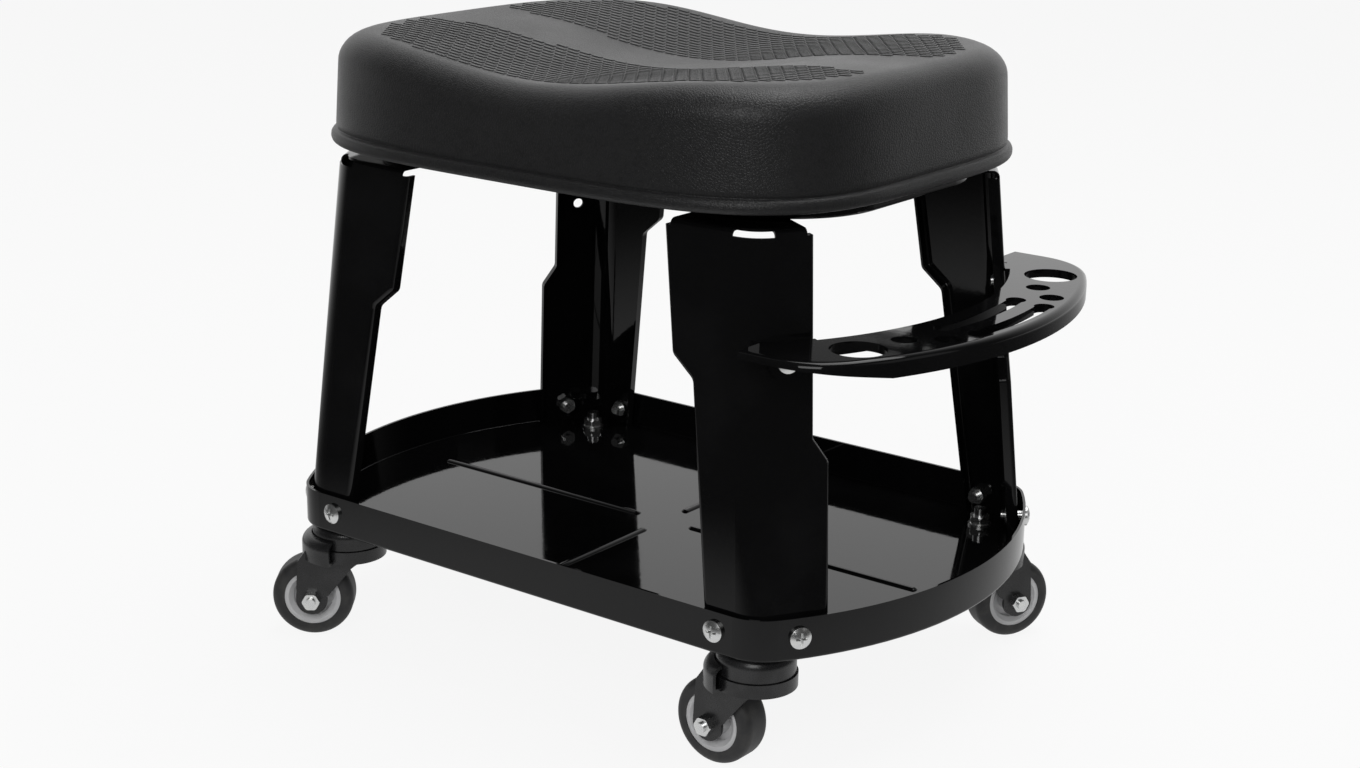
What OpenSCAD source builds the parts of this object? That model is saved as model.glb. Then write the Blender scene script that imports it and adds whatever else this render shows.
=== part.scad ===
// Rolling workshop seat with a saddle cushion, four folded sheet-steel legs, a parts tray,
// a curved tool rack at one end and four swivel casters.
// Millimetres, +Z up. The tray's middle is laid out first at zero and the whole seat is then
// moved so that the origin lies on the floor under the middle of its outline.

/* [Seat] */
// Length of the seat over its bottom bead
seat_length = 374; // [330:1:410]
// Width of the seat over its bottom bead
seat_width = 302; // [270:1:330]
// Height of the padding from its underside to its raised ends
pad_height = 65; // [50:1:80]
// How far the saddle dips between the raised ends
saddle_dip = 11.5; // [2:0.5:14]
// Radius of the padding's top edge
pad_edge = 18; // [12:1:24]
// How far the bottom bead stands out from the padding's side
bead_out = 2.5; // [1:0.5:5]
// Height of the bottom bead
bead_height = 8; // [5:0.5:12]
// How far the padding's side leans in
pad_draft = 2; // [1:0.5:6]
// How far the middle of the top is hollowed below its edges
pad_hollow = 4; // [1:0.5:6]
// Height of the pressed pan under the padding
pan_height = 8.5; // [8:0.5:14]
// How far the pan stays inside the bead at each end
pan_inset_end = 15; // [8:1:20]
// How far the pan stays inside the bead along each side
pan_inset_side = 48; // [40:1:56]
// Corner radius of the pan
pan_corner = 60; // [45:1:70]

/* [Legs] */
// Height of the legs above the tray floor
leg_height = 229.5; // [200:0.5:280]
// Thickness of the pressed steel of the legs, tray and pan
sheet = 1.5; // [1:0.1:2]
// Bend radius of a leg's corner
leg_bend = 22; // [16:1:24]
// Width of the side flange at the leg's head
side_width_head = 57.5; // [54:0.5:64]
// Width of the side flange just over its step
side_width_high = 53.6; // [48:0.2:56]
// Width of the side flange just under its step
side_width_low = 40.2; // [37:0.2:44]
// Width of the side flange at the foot
side_width_foot = 32.4; // [30:0.2:36]
// Height of the side flange's step over the foot
side_step = 149; // [110:1:160]
// Width of the end flange over its step
end_width_high = 35.5; // [33:0.5:38]
// Width of the end flange under its step
end_width_low = 44.5; // [42:0.5:48]
// Height of the end flange's step over the foot
end_step = 106; // [80:1:120]
// Height that the slanted steps take
step_rise = 13; // [11:0.5:18]
// Depth of the lips turned in along the free edges
lip_depth = 7; // [5:0.5:10]
// Bend radius of the lips
lip_bend = 3; // [2:0.25:4]
// Depth of the tabs turned in at the head
tab_depth = 42; // [38:1:48]
// How far a leg's head stands outside the pan's side
head_out_side = 24; // [18:1:28]
// How far a leg's head stands outside the pan's corner
head_out_end = 18; // [14:0.5:22]

/* [Tray] */
// Width of the tray over its rim
tray_width = 289.6; // [270:0.2:310]
// Length of the tray over its curved ends
tray_length = 443.6; // [420:0.2:470]
// Radius of the tray's curved ends
tray_end_radius = 229.8; // [224:0.2:240]
// Corner radius of the tray
tray_corner = 28; // [24.5:0.5:32]
// Height of the tray with its rim
tray_height = 24.5; // [20:0.5:40]
// Bend radius at the foot of the rim
tray_bend = 2; // [2:0.25:4]
// Distance of the end flanges' screws from the long middle line of the tray
end_screw_out = 123.1; // [118:0.1:128]
// Radius of the pressed ribs in the floor
rib_radius = 3.2; // [2.5:0.1:4]
// Height of the ribs over the floor
rib_height = 1.4; // [0.8:0.1:1.6]
// Distance of the ribs' inner ends from the middle
rib_start = 22; // [14:1:30]
// Distance of the long ribs' outer ends from the curved ends
rib_end_gap = 40; // [30:1:60]
// Distance of the short ribs' outer ends from the sides
rib_side_gap = 27; // [20:1:40]

/* [Tool rack] */
// Height of the rack's top over the tray floor
rack_height = 171.5; // [150:0.5:180]
// Thickness of the rack's plate
rack_sheet = 2; // [1.5:0.1:3]
// Width of the rack from its inner to its outer edge
rack_depth = 45; // [42:0.5:52]
// Gap between the rack's inner edge and the plane of the end flanges
rack_gap = 3; // [2:0.25:4]
// How far the rack's ends reach past the legs' corners
rack_end_out = 16.5; // [10:0.5:18]
// Radius of the rack's outer corners
rack_corner = 45; // [35:1:50]
// Height of the rim turned down round the rack
rack_rim = 11; // [9:0.5:14]
// Bend radius of the rack's rim
rack_bend = 4; // [2.5:0.25:5]
// Depth of the rim turned down along the rack's inner edge
rack_inner_rim = 9; // [6:0.5:12]
// Depth of the collars turned down round the holes and slots, from the rack's top
collar_depth = 5; // [4:0.5:7]
// Thickness of the collars
collar_sheet = 1.5; // [1:0.1:2]
// Diameter of the two big tool holes
big_hole = 31; // [26:0.5:32]
// Diameter of the small tool holes
small_hole = 14; // [10:0.5:15]
// Width of the curved slots
slot_width = 9; // [7:0.5:10]
// Diameter of the round ends of the curved slots
slot_end = 11.5; // [9.5:0.5:12]

/* [Casters] */
// Diameter of the wheels
wheel_diameter = 50.8; // [48:0.2:52]
// Width of the tyres
wheel_width = 20.6; // [18:0.2:21.6]
// Height of the tray's underside above the floor
caster_height = 74; // [73:0.5:90]
// Offset of the wheels from their swivel axes
caster_trail = 22.4; // [20:0.2:25]
// Diameter of the threaded stems
stem_diameter = 8; // [7:0.5:9]
// Radius of the bearing housing
race_radius = 22.3; // [21.5:0.1:24]
// Thickness of the forks' steel
fork_sheet = 2; // [1.5:0.1:2.2]
// Swivel direction of the front left caster, in degrees from +X
turn_front_left = 217.7; // [0:0.1:360]
// Swivel direction of the front right caster
turn_front_right = 179.7; // [0:0.1:360]
// Swivel direction of the rear right caster
turn_rear_right = 59.1; // [0:0.1:360]
// Swivel direction of the rear left caster
turn_rear_left = 150; // [0:1:360]

/* [Fasteners] */
// Thread diameter of the sheet-metal screws
screw_diameter = 6; // [5:0.5:7]
// Diameter of their pan heads
screw_head = 12.4; // [10:0.2:13]
// Height of their pan heads
screw_head_height = 3.6; // [3:0.1:4.5]
// Width across flats of their nuts
nut_flats = 10; // [9.5:0.5:11]
// Height of their nuts
nut_height = 5; // [4:0.25:6]

/* [Hidden] */
$fn = 96;

// Overrun of a cut past the face it opens
over = 1;
// Length by which swept edges lap onto the flat sheet
lap = 1.2;
// Step by which a tight bend stays inside the sheet that it meets
seam = 0.02;
// Length by which the sheet runs on into a tight bend
hold = 0.5;
// Radial clearance of parts that turn on each other
run_gap = 0.05;
// Radial clearance of screws in their holes
hole_gap = 0.3;
// Clearance between pieces that only lie close
near_gap = 0.3;
// Share of a sheet's thickness taken off its top corners
ease_share = 0.3;

// Heights
floor_top = caster_height + sheet;
leg_top = floor_top + leg_height;
pad_bottom = leg_top + pan_height;

// Tray outline: an arc at each end, straight sides, rounded corners
tray_half = tray_width / 2;
tray_arc_x = tray_length / 2 - tray_end_radius;
tray_wall_half = tray_half - sheet;
tray_wall_radius = tray_end_radius - sheet;
// A leg's foot stands on the flat floor, clear of the bend at the foot of the rim
foot_gap_side = tray_bend - sheet + run_gap;
// How much closer the curved rim comes to the edges of an end flange than to its screw
rim_sag = 1.1;
foot_gap_end = foot_gap_side + rim_sag;

// Pan outline
pan_half_x = seat_length / 2 - pan_inset_end;
pan_half_y = seat_width / 2 - pan_inset_side;

// Legs: the sharp corner where a leg's two outer faces meet, at the foot and at the head
end_angle = asin(end_screw_out / tray_end_radius);
end_normal = [cos(end_angle), sin(end_angle)];
end_along = [sin(end_angle), -cos(end_angle), 0];
foot_y = tray_wall_half - foot_gap_side;
foot_end = tray_arc_x * end_normal[0] + tray_wall_radius - foot_gap_end;
head_y = pan_half_y + head_out_side;
head_end = (pan_half_x - pan_corner) * end_normal[0] + (pan_half_y - pan_corner) * end_normal[1]
  + pan_corner + head_out_end;
leg_foot = [(foot_end - foot_y * end_normal[1]) / end_normal[0], foot_y, floor_top];
leg_head = [(head_end - head_y * end_normal[1]) / end_normal[0], head_y, leg_top];

// Leg axes: along the corner line, along each flange and square to the end flange
leg_line = unit(leg_head - leg_foot);
leg_length = norm(leg_head - leg_foot);
side_along = square_to([-1, 0, 0], leg_line);
side_inward = cross(leg_line, side_along);
end_slope = square_to(end_along, leg_line);
end_outward = cross(leg_line, end_slope);
leg_angle = atan2(end_slope * side_inward, end_slope * side_along);
bend_reach = leg_bend / tan(leg_angle / 2);
end_frame_up = cross(end_outward, -end_along);
// Rounding of the steps in the flanges' edges
step_round = 5;
// Bend radius at the head of a leg
head_bend = 4;

// Screws through the rim
rim_screw_up = 12;
rim_screw_height = floor_top + rim_screw_up;
// Distance of the rim's side screws from the legs' corners
rim_screw_in = 24;
screw_radius = screw_diameter / 2;
screw_bore = screw_radius + hole_gap;
screw_dome = 11;
// The legs lean and the rim's nuts stand upright, so a nut stands off by the lean over its radius
side_lean = (foot_y - head_y) / leg_height;
end_lean = (foot_end - head_end) / leg_height;
nut_stand = nut_flats / sqrt(3) + 2 * run_gap;
// Cross recess in a screw head: arm length, arm width and depth
recess_length = 7;
recess_width = 1.3;
recess_depth = 1.8;
// How far a screw's end stands out of its nut
screw_out = 1.5;
// Extra length of the rim's screws for the lean of the legs
lean_spare = 3.3;
// Rounding of a nut's corners
nut_ease = 0.4;
// Screws from under the head tabs into the seat board, and the board left over their ends
seat_board_left = 1;
seat_screw_bite = pan_height - sheet - seat_board_left;
seat_screw_side_in = 34;
seat_screw_side_x = 34;
seat_screw_end_in = 34;
seat_screw_end_x = 22;

// Rack
rack_top = floor_top + rack_height;
rack_base = rack_top - rack_sheet;
rack_leg_plane = flat_part(leg_at(rack_base)) * end_normal;
rack_inner = rack_leg_plane + rack_gap;
rack_outer = rack_inner + rack_depth;
rack_half_y = leg_at(rack_top)[1] + rack_end_out;
rack_corner_x = sqrt(pow(rack_outer - rack_corner, 2) - pow(rack_half_y - rack_corner, 2));
rack_corner_angle = asin((rack_half_y - rack_corner) / (rack_outer - rack_corner));
// How far the rack's tips stay clear of the legs' corner lines
rack_tip_in = 2;
rack_tip_x = leg_at(rack_top)[0] + rack_tip_in;
// Rounded ears under the rack that take its screws
ear_radius = 11;
ear_drop = 10.7;
// Distance of the ears' middles from the legs' corner lines
ear_in = 19;
rack_screw_z = rack_top - ear_drop;
// Height left of the rim at the rack's ends, and where its slant starts
rim_left = 4;
rim_slant = 42;
// Half of the angle that the inner rim spans between the legs
inner_rim_angle = 29;
// Places of the tool holes: angles from the long axis, and how far they lie from the outer edge
big_hole_angle = 27;
big_hole_in = 21.2;
outer_hole_angle = 14;
outer_hole_in = 13.4;
inner_hole_angle = 19;
inner_hole_in = 25.5;
inner_slot_in = 30;
inner_slot_angle = 10.4;
outer_slot_in = 11.5;
outer_slot_angle = 9;

// Casters: stems stand near the middles of the legs' corner bends
stem_in = 1.3;
stem_x = leg_foot[0] - bend_reach - stem_in;
stem_y = leg_foot[1] - leg_bend;
stem_radius = stem_diameter / 2;
wheel_radius = wheel_diameter / 2;
// Clearance between the tyre and the crown of the fork
crown_gap = 1.5;
crown_base = wheel_diameter + crown_gap;
crown_top = crown_base + fork_sheet;
// Height of the rim of the crown
crown_rim = 8;
crown_radius = race_radius + 1;
ball_radius = 2.5;
ball_circle = 15;
ball_count = 10;
race_base = crown_top + 2 * ball_radius + run_gap;
// Foot of the housing that dips into the crown
race_foot_radius = 20;
race_foot = 1.5;
race_round = 6;
// Hood of the crown over the wheel
hood_radius = 29;
hood_round = 6;
hood_height = 15;
hood_spread = 72;
// King pin under the crown
pin_radius = 6;
pin_head_radius = 9;
pin_head = 2.2;
// Fork cheeks
cheek_gap = 1.7;
cheek_inner = wheel_width / 2 + cheek_gap;
cheek_outer = cheek_inner + fork_sheet;
cheek_end = 9.8;
// Leading edge of the cheeks: where it starts at the crown, its shoulder and its waist by the axle
cheek_start = 10.4;
cheek_lead = 3;
cheek_shoulder = 5.8;
cheek_waist_out = 10.4;
cheek_waist_up = 2.6;
// Trailing edge of the cheeks: how far it leans in and how it runs up into the hood
cheek_lean = 1.6;
cheek_rise = 4;
hood_reach = sqrt(hood_radius * hood_radius - cheek_outer * cheek_outer);
// Axle
axle_radius = 3;
bush_radius = 4.5;
axle_flats = 10;
axle_head = 4;
axle_nut = 5;
axle_out = 2;
// Hub and tyre
hub_radius = 17.6;
hub_boss = 8.5;
hub_gap = 0.7;
hub_web = 3;
hub_lip = 2.6;
hub_face_in = 0.6;
tyre_round = 5;
// Washer and nut on a stem
stem_washer_radius = 7.4;
stem_washer = 1.4;
stem_nut_flats = 12;
stem_nut = 4.6;
stem_out = 5;

// Seat padding: one outline formula, drawn in or scaled ring by ring
seat_power = 3.8;
pad_sides = 64;
dip_half = 132;
pad_wall_share = 0.45;
pad_ring_shares = [0.76, 0.5, 0.24];

// Middle of the outline, from the tray's curved end to the rack and between the turned wheels
mid_x = (rack_outer - tray_length / 2) / 2;
mid_y = (max(wheel_reach(turn_rear_left), wheel_reach(turn_rear_right))
  - max(wheel_reach(-turn_front_left), wheel_reach(-turn_front_right))) / 2;

function unit(v) = v / norm(v);
function square_to(v, line) = unit(v - (v * line) * line);
function flat_part(p) = [p[0], p[1]];
// Point of a leg's corner line at height z
function leg_at(z) = leg_foot + (leg_head - leg_foot) * (z - floor_top) / leg_height;
// How far a turned wheel reaches across the seat
function wheel_reach(turn) = stem_y + caster_trail * sin(turn)
  + wheel_radius * abs(sin(turn)) + wheel_width / 2 * abs(cos(turn));
// Middle of the rounding between a straight side and an end arc
function round_x(arc_x, radius, half, corner) =
  arc_x + sqrt(pow(radius - corner, 2) - pow(half - corner, 2));
function round_angle(radius, half, corner) = asin((half - corner) / (radius - corner));

// Carries its children along a flat route that starts at zero towards +X.
// Each step is [length, radius, turn, tight]: a straight piece has radius 0, a left turn is positive.
// A tight bend has 1 or -1 there: it stays a hair inside its neighbours and a hair above or below
// them, and these run on into it for a short hold.
// The profile's x points to the left of the route and its y points up.
module along(steps, closed = false) {
  last = len(steps) - 1;
  for (i = [0:last]) translate(stop_at(steps, i)) rotate([0, 0, heading(steps, i)])
    translate([0, 0, steps[i][3] ? steps[i][3] * seam : 0])
      along_step(steps[i], closed || i > 0 ? hold : 0, closed || i < last ? hold : 0) children();
}

module along_step(step, before, after) {
  radius = step[1];
  turn = abs(step[2]);
  degrees_held = radius == 0 || step[3] ? 0 : 180 / (PI * radius);
  swept = turn + degrees_held * (before + after);
  inner = step[3] ? radius - seam : radius;
  if (radius == 0)
    translate([-before, 0, 0]) rotate([90, 0, 90]) linear_extrude(step[0] + before + after) children();
  else if (step[2] > 0)
    translate([0, radius, 0]) rotate([0, 0, -90 - degrees_held * before])
      rotate_extrude(angle = swept) translate([inner, 0]) mirror([1, 0]) children();
  else
    translate([0, -radius, 0]) rotate([0, 0, 90 - turn - degrees_held * after])
      rotate_extrude(angle = swept) translate([inner, 0]) children();
}

// Heading and place at which step i of a route starts
function heading(steps, i) = i == 0 ? 0 : heading(steps, i - 1) + steps[i - 1][2];
function stop_at(steps, i) = i == 0 ? [0, 0] :
  let (from = heading(steps, i - 1), to = heading(steps, i), step = steps[i - 1])
  stop_at(steps, i - 1) + (step[1] == 0 ? step[0] * [cos(from), sin(from)]
    : sign(step[2]) * step[1] * [sin(to) - sin(from), cos(from) - cos(to)]);

// Profile of a flat sheet's edge turned down by depth, its outer face on x = 0
module turned_edge(depth, thick, bend) {
  translate([bend, -thick]) square([lap, thick]);
  translate([0, -depth]) square([thick, depth - bend]);
  translate([bend, -bend]) intersection() {
    difference() {
      circle(bend);
      circle(bend - thick);
    }
    translate([-bend, 0]) square(bend);
  }
}

// The same edge turned up, with its top corners taken off
module rim_edge(height, thick, bend) {
  ease = thick * ease_share;
  mirror([0, 1]) turned_edge(height - ease, thick, bend);
  translate([0, height - ease]) polygon([[0, 0], [thick, 0], [thick - ease, ease], [ease, ease]]);
}

// Flat shape with an arc at each end, straight sides and rounded corners
module capped_shape(arc_x, radius, half, corner) {
  centre_x = round_x(arc_x, radius, half, corner);
  turn = round_angle(radius, half, corner);
  tip = [arc_x + sqrt(radius * radius - half * half), half];
  reach = norm(tip - [centre_x, half - corner]) + over;
  difference() {
    intersection() {
      translate([arc_x, 0]) circle(radius);
      translate([-arc_x, 0]) circle(radius);
      square([4 * radius, 2 * half], center = true);
    }
    for (mx = [0, 1], my = [0, 1]) mirror([mx, 0]) mirror([0, my])
      translate([centre_x, half - corner]) difference() {
        polygon([
          [0, 0], [0, reach], [reach, reach], reach * [cos(turn), sin(turn)]
        ]);
        circle(corner);
      }
  }
}

// Flat rectangle with rounded corners
module rounded_rectangle(half_x, half_y, corner) {
  square([2 * (half_x - corner), 2 * half_y], center = true);
  square([2 * half_x, 2 * (half_y - corner)], center = true);
  for (sx = [-1, 1], sy = [-1, 1]) translate([sx * (half_x - corner), sy * (half_y - corner)])
    circle(corner);
}

// Places children with their own axes x, y and z at a point
module in_frame(point, x, y, z) {
  multmatrix([
    [x[0], y[0], z[0], point[0]],
    [x[1], y[1], z[1], point[1]],
    [x[2], y[2], z[2], point[2]],
    [0, 0, 0, 1]
  ]) children();
}

// Moves the laid-out seat to its origin
module placed() {
  translate([-mid_x, -mid_y, 0]) children();
}

// The four corners: the children are drawn for the rear right one and mirrored
module at_corner(sx, sy) {
  mirror([sx < 0 ? 1 : 0, 0, 0]) mirror([0, sy < 0 ? 1 : 0, 0]) children();
}

// Frame on the outer face of the rear right end flange: x to the corner, y up, z outward
module on_end_flange(height, in) {
  in_frame(leg_at(height) + in * end_along, -end_along, end_frame_up, end_outward) children();
}

module pan_screw(length) {
  difference() {
    intersection() {
      cylinder(h = screw_head_height, r = screw_head / 2);
      translate([0, 0, screw_head_height - screw_dome]) sphere(screw_dome);
    }
    for (turn = [0, 90]) rotate([0, 0, turn])
      translate([-recess_length / 2, -recess_width / 2, screw_head_height - recess_depth])
        cube([recess_length, recess_width, recess_depth + over]);
  }
  translate([0, 0, -length]) cylinder(h = length, r = screw_radius);
}

module hex_nut(flats, height, bore) {
  ease = sqrt(pow(flats / 2 + nut_ease, 2) + pow(height / 2, 2));
  difference() {
    intersection() {
      cylinder(h = height, r = flats / sqrt(3), $fn = 6);
      translate([0, 0, height / 2]) sphere(ease);
    }
    translate([0, 0, -over]) cylinder(h = height + 2 * over, r = bore);
  }
}

// Padding

function pad_radius(turn, half_x, half_y) =
  pow(pow(abs(cos(turn)) / half_x, seat_power) + pow(abs(sin(turn)) / half_y, seat_power),
    -1 / seat_power);
function saddle(x) = -saddle_dip * (1 + cos(180 * min(1, abs(x) / dip_half))) / 2;
// One ring of the padding: drawn in by inset, scaled by share, at height z, with or without the saddle
function pad_ring(inset, share, z, follow) = [
  for (i = [0:pad_sides - 1])
    let (
      turn = 360 * i / pad_sides,
      r = share * pad_radius(turn, seat_length / 2 - inset, seat_width / 2 - inset),
      x = r * cos(turn)
    )
    [x, r * sin(turn), z + follow * saddle(x)]
];
function strip(low) = [
  for (i = [0:pad_sides - 1])
    let (next = (i + 1) % pad_sides, high = low + pad_sides)
    each [[low + i, high + i, high + next], [low + i, high + next, low + next]]
];

module seat_cushion() {
  pad_top = pad_bottom + pad_height;
  wall_inset = bead_out + pad_draft;
  wall_top = pad_top - pad_edge;
  wall_start = pad_bottom + bead_height;
  rings = [
    for (turn = [-90:45:90])
      pad_ring(bead_out * (1 - cos(turn)), 1, pad_bottom + bead_height / 2 * (1 + sin(turn)), 0),
    pad_ring(bead_out + pad_draft * pad_wall_share, 1,
      wall_start + (wall_top - wall_start) * pad_wall_share, pad_wall_share),
    for (turn = [0:30:90])
      pad_ring(wall_inset + pad_edge * (1 - cos(turn)), 1, wall_top + pad_edge * sin(turn), 1),
    for (share = pad_ring_shares)
      pad_ring(wall_inset + pad_edge, share, pad_top - pad_hollow * (1 - share * share), 1)
  ];
  body = [for (ring = rings) each ring];
  foot = len(body);
  last = pad_sides * (len(rings) - 1);
  points = concat(body, [[0, 0, pad_bottom], [0, 0, pad_top - pad_hollow + saddle(0)]]);
  faces = concat(
    [for (k = [0:len(rings) - 2]) each strip(k * pad_sides)],
    [for (i = [0:pad_sides - 1]) [foot, i, (i + 1) % pad_sides]],
    [for (i = [0:pad_sides - 1]) [foot + 1, last + (i + 1) % pad_sides, last + i]]
  );
  color("#2b2c2e") placed() polyhedron(points, faces);
}

module seat_board() {
  inset = tray_bend + near_gap;
  color("#8a6b45") placed() difference() {
    translate([0, 0, leg_top + sheet + run_gap]) linear_extrude(pan_height - sheet - run_gap)
      rounded_rectangle(pan_half_x - inset, pan_half_y - inset, pan_corner - inset);
    each_seat_screw() translate([0, 0, -over])
      cylinder(h = sheet + seat_screw_bite + over, r = screw_radius + run_gap);
  }
}

module seat_pan() {
  straight_x = 2 * (pan_half_x - pan_corner);
  straight_y = 2 * (pan_half_y - pan_corner);
  edge_in = tray_bend + lap / 2;
  color("#0b0b0c") placed() difference() {
    translate([0, 0, leg_top]) {
      linear_extrude(sheet) rounded_rectangle(
        pan_half_x - edge_in, pan_half_y - edge_in, pan_corner - edge_in);
      translate([-straight_x / 2, -pan_half_y, 0]) along([
        [straight_x, 0, 0], [0, pan_corner, 90, 1],
        [straight_y, 0, 0], [0, pan_corner, 90, 1],
        [straight_x, 0, 0], [0, pan_corner, 90, 1],
        [straight_y, 0, 0], [0, pan_corner, 90, 1]
      ], true) rim_edge(pan_height - near_gap, sheet, tray_bend);
    }
    each_seat_screw() translate([0, 0, -over])
      cylinder(h = sheet + 2 * over, r = screw_bore);
  }
}

// Places of the screws that come up through the head tabs, on top of the tabs
module each_seat_screw() {
  for (sx = [-1, 1], sy = [-1, 1]) at_corner(sx, sy) {
    translate(leg_head - [seat_screw_side_x, seat_screw_side_in, 0]) children();
    translate(leg_head + seat_screw_end_x * end_along
      - seat_screw_end_in * [end_normal[0], end_normal[1], 0]) children();
  }
}

module seat_screws() {
  color("#c9ccd0") placed() each_seat_screw()
    translate([0, 0, -sheet]) mirror([0, 0, 1]) pan_screw(2 * sheet + seat_screw_bite - near_gap);
}

// Legs

// One flange of a leg: x away from the corner line, y inward, z along the corner line.
// The free edge is a list of [height, width] points.
module flange(edge) {
  route = [for (p = edge) [p[1], p[0]]];
  inner = lip_bend + lap / 2;
  headings = [for (i = [0:2]) atan2(route[i + 1][1] - route[i][1], route[i + 1][0] - route[i][0])];
  turns = [for (i = [0:1]) headings[i + 1] - headings[i]];
  cuts = [0, for (t = turns) step_round * tan(abs(t) / 2), 0];
  lengths = [for (i = [0:2]) norm(route[i + 1] - route[i]) - cuts[i] - cuts[i + 1]];
  translate([0, sheet, 0]) rotate([90, 0, 0]) linear_extrude(sheet) polygon([
    [bend_reach - hold, route[0][1]],
    for (i = [0:3]) route[i] - inner * edge_normal(route, i),
    [bend_reach - hold, route[3][1]]
  ]);
  rotate([90, 0, 0]) translate([route[0][0], route[0][1], 0]) rotate([0, 0, headings[0]])
    along([
      [lengths[0], 0, 0], [0, step_round, turns[0], -1],
      [lengths[1], 0, 0], [0, step_round, turns[1], -1],
      [lengths[2], 0, 0]
    ]) turned_edge(lip_depth, sheet, lip_bend);
}

// Direction in which point i of an edge moves when the edge is drawn in
function edge_normal(route, i) =
  let (
    a = unit(route[min(i + 1, 3)] - route[min(i, 2)]),
    b = unit(route[max(i, 1)] - route[max(i - 1, 0)]),
    na = [a[1], -a[0]],
    nb = [b[1], -b[0]]
  )
  (na + nb) / (1 + na * nb);

module leg_shell() {
  // The flanges run past the foot and the head, where level cuts end them
  spare = 12 * over;
  foot_lean = (side_width_low - side_width_foot) / side_step;
  head_lean = (side_width_head - side_width_high) / (leg_length - side_step - step_rise);
  side_edge = [
    [-spare, side_width_foot - spare * foot_lean],
    [side_step, side_width_low],
    [side_step + step_rise, side_width_high],
    [leg_length + spare, side_width_head + spare * head_lean]
  ];
  end_edge = [
    [-spare, end_width_low],
    [end_step, end_width_low],
    [end_step + step_rise, end_width_high],
    [leg_length + spare, end_width_high]
  ];
  in_frame(leg_foot, side_along, side_inward, leg_line) {
    flange(side_edge);
    rotate([0, 0, leg_angle]) mirror([0, 1, 0]) flange(end_edge);
    translate([0, 0, -spare]) linear_extrude(leg_length + 2 * spare)
      translate([bend_reach, leg_bend]) intersection() {
        difference() {
          circle(leg_bend - seam);
          circle(leg_bend - seam - sheet);
        }
        polygon([
          [0, 0], [0, -leg_bend], [-bend_reach, -leg_bend],
          bend_reach * [cos(leg_angle), sin(leg_angle)] - [bend_reach, leg_bend]
        ]);
      }
  }
}

// Tab turned in at the head of a flange: its bend and its flat part, between the leg's own bends
module head_tab(width) {
  from = bend_reach + lap;
  to = width - lip_bend - lap;
  depth = tab_depth;
  translate([from, seam, 0]) rotate([90, 0, 90]) linear_extrude(to - from) {
    translate([head_bend, -sheet]) square([depth - head_bend, sheet]);
    translate([0, -head_bend - hold]) square([sheet, hold]);
    translate([head_bend, -head_bend]) intersection() {
      difference() {
        circle(head_bend);
        circle(head_bend - sheet);
      }
      translate([-head_bend, 0]) square(head_bend);
    }
  }
}

module leg() {
  head_corner = leg_at(leg_top - head_bend);
  difference() {
    union() {
      intersection() {
        leg_shell();
        translate([0, 0, floor_top + run_gap])
          cylinder(h = leg_height - head_bend - run_gap, r = tray_length);
      }
      translate([head_corner[0], head_corner[1], leg_top]) {
        rotate([0, 0, 180]) head_tab(side_width_head);
        rotate([0, 0, end_angle - 90]) mirror([0, 1, 0]) head_tab(end_width_high);
        // Round web that joins the two tabs behind the leg's corner
        translate([-bend_reach, -leg_bend, -sheet]) cylinder(h = sheet, r = leg_bend - head_bend - lap);
      }
    }
    rim_screw_places() translate([0, 0, -tray_bend - leg_bend])
      cylinder(h = tray_bend + leg_bend + over, r = screw_bore);
    on_end_flange(rack_screw_z, ear_in) translate([0, 0, -leg_bend])
      cylinder(h = leg_bend + over, r = screw_bore);
    translate(leg_head - [seat_screw_side_x, seat_screw_side_in, sheet + over])
      cylinder(h = sheet + 2 * over, r = screw_bore);
    translate(leg_head + seat_screw_end_x * end_along
      - [seat_screw_end_in * end_normal[0], seat_screw_end_in * end_normal[1], sheet + over])
      cylinder(h = sheet + 2 * over, r = screw_bore);
  }
}

module leg_front_left() { color("#0b0b0c") placed() at_corner(-1, -1) leg(); }
module leg_front_right() { color("#0b0b0c") placed() at_corner(1, -1) leg(); }
module leg_rear_left() { color("#0b0b0c") placed() at_corner(-1, 1) leg(); }
module leg_rear_right() { color("#0b0b0c") placed() at_corner(1, 1) leg(); }

// Tray

// Outer face of the rim at the two screws of one corner, with z pointing out
module rim_screw_places() {
  translate([leg_at(rim_screw_height)[0] - rim_screw_in, tray_half, rim_screw_height])
    rotate([-90, 0, 0]) children();
  translate([tray_arc_x, 0, rim_screw_height]) rotate([0, 0, end_angle])
    translate([tray_end_radius, 0, 0]) rotate([0, 90, 0]) children();
}

module each_rim_screw() {
  for (sx = [-1, 1], sy = [-1, 1]) at_corner(sx, sy) rim_screw_places() children();
}

module rib(from, to) {
  translate([from, 0, 0]) rotate([0, 90, 0]) cylinder(h = to - from, r = rib_radius);
  translate([from, 0, 0]) sphere(rib_radius);
  translate([to, 0, 0]) sphere(rib_radius);
}

module ribs() {
  long_end = tray_length / 2 - rib_end_gap;
  short_end = tray_half - rib_side_gap;
  translate([0, 0, floor_top + rib_height - rib_radius]) {
    for (turn = [0, 180]) rotate([0, 0, turn]) rib(rib_start, long_end);
    for (turn = [90, 270]) rotate([0, 0, turn]) rib(rib_start, short_end);
  }
}

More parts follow.
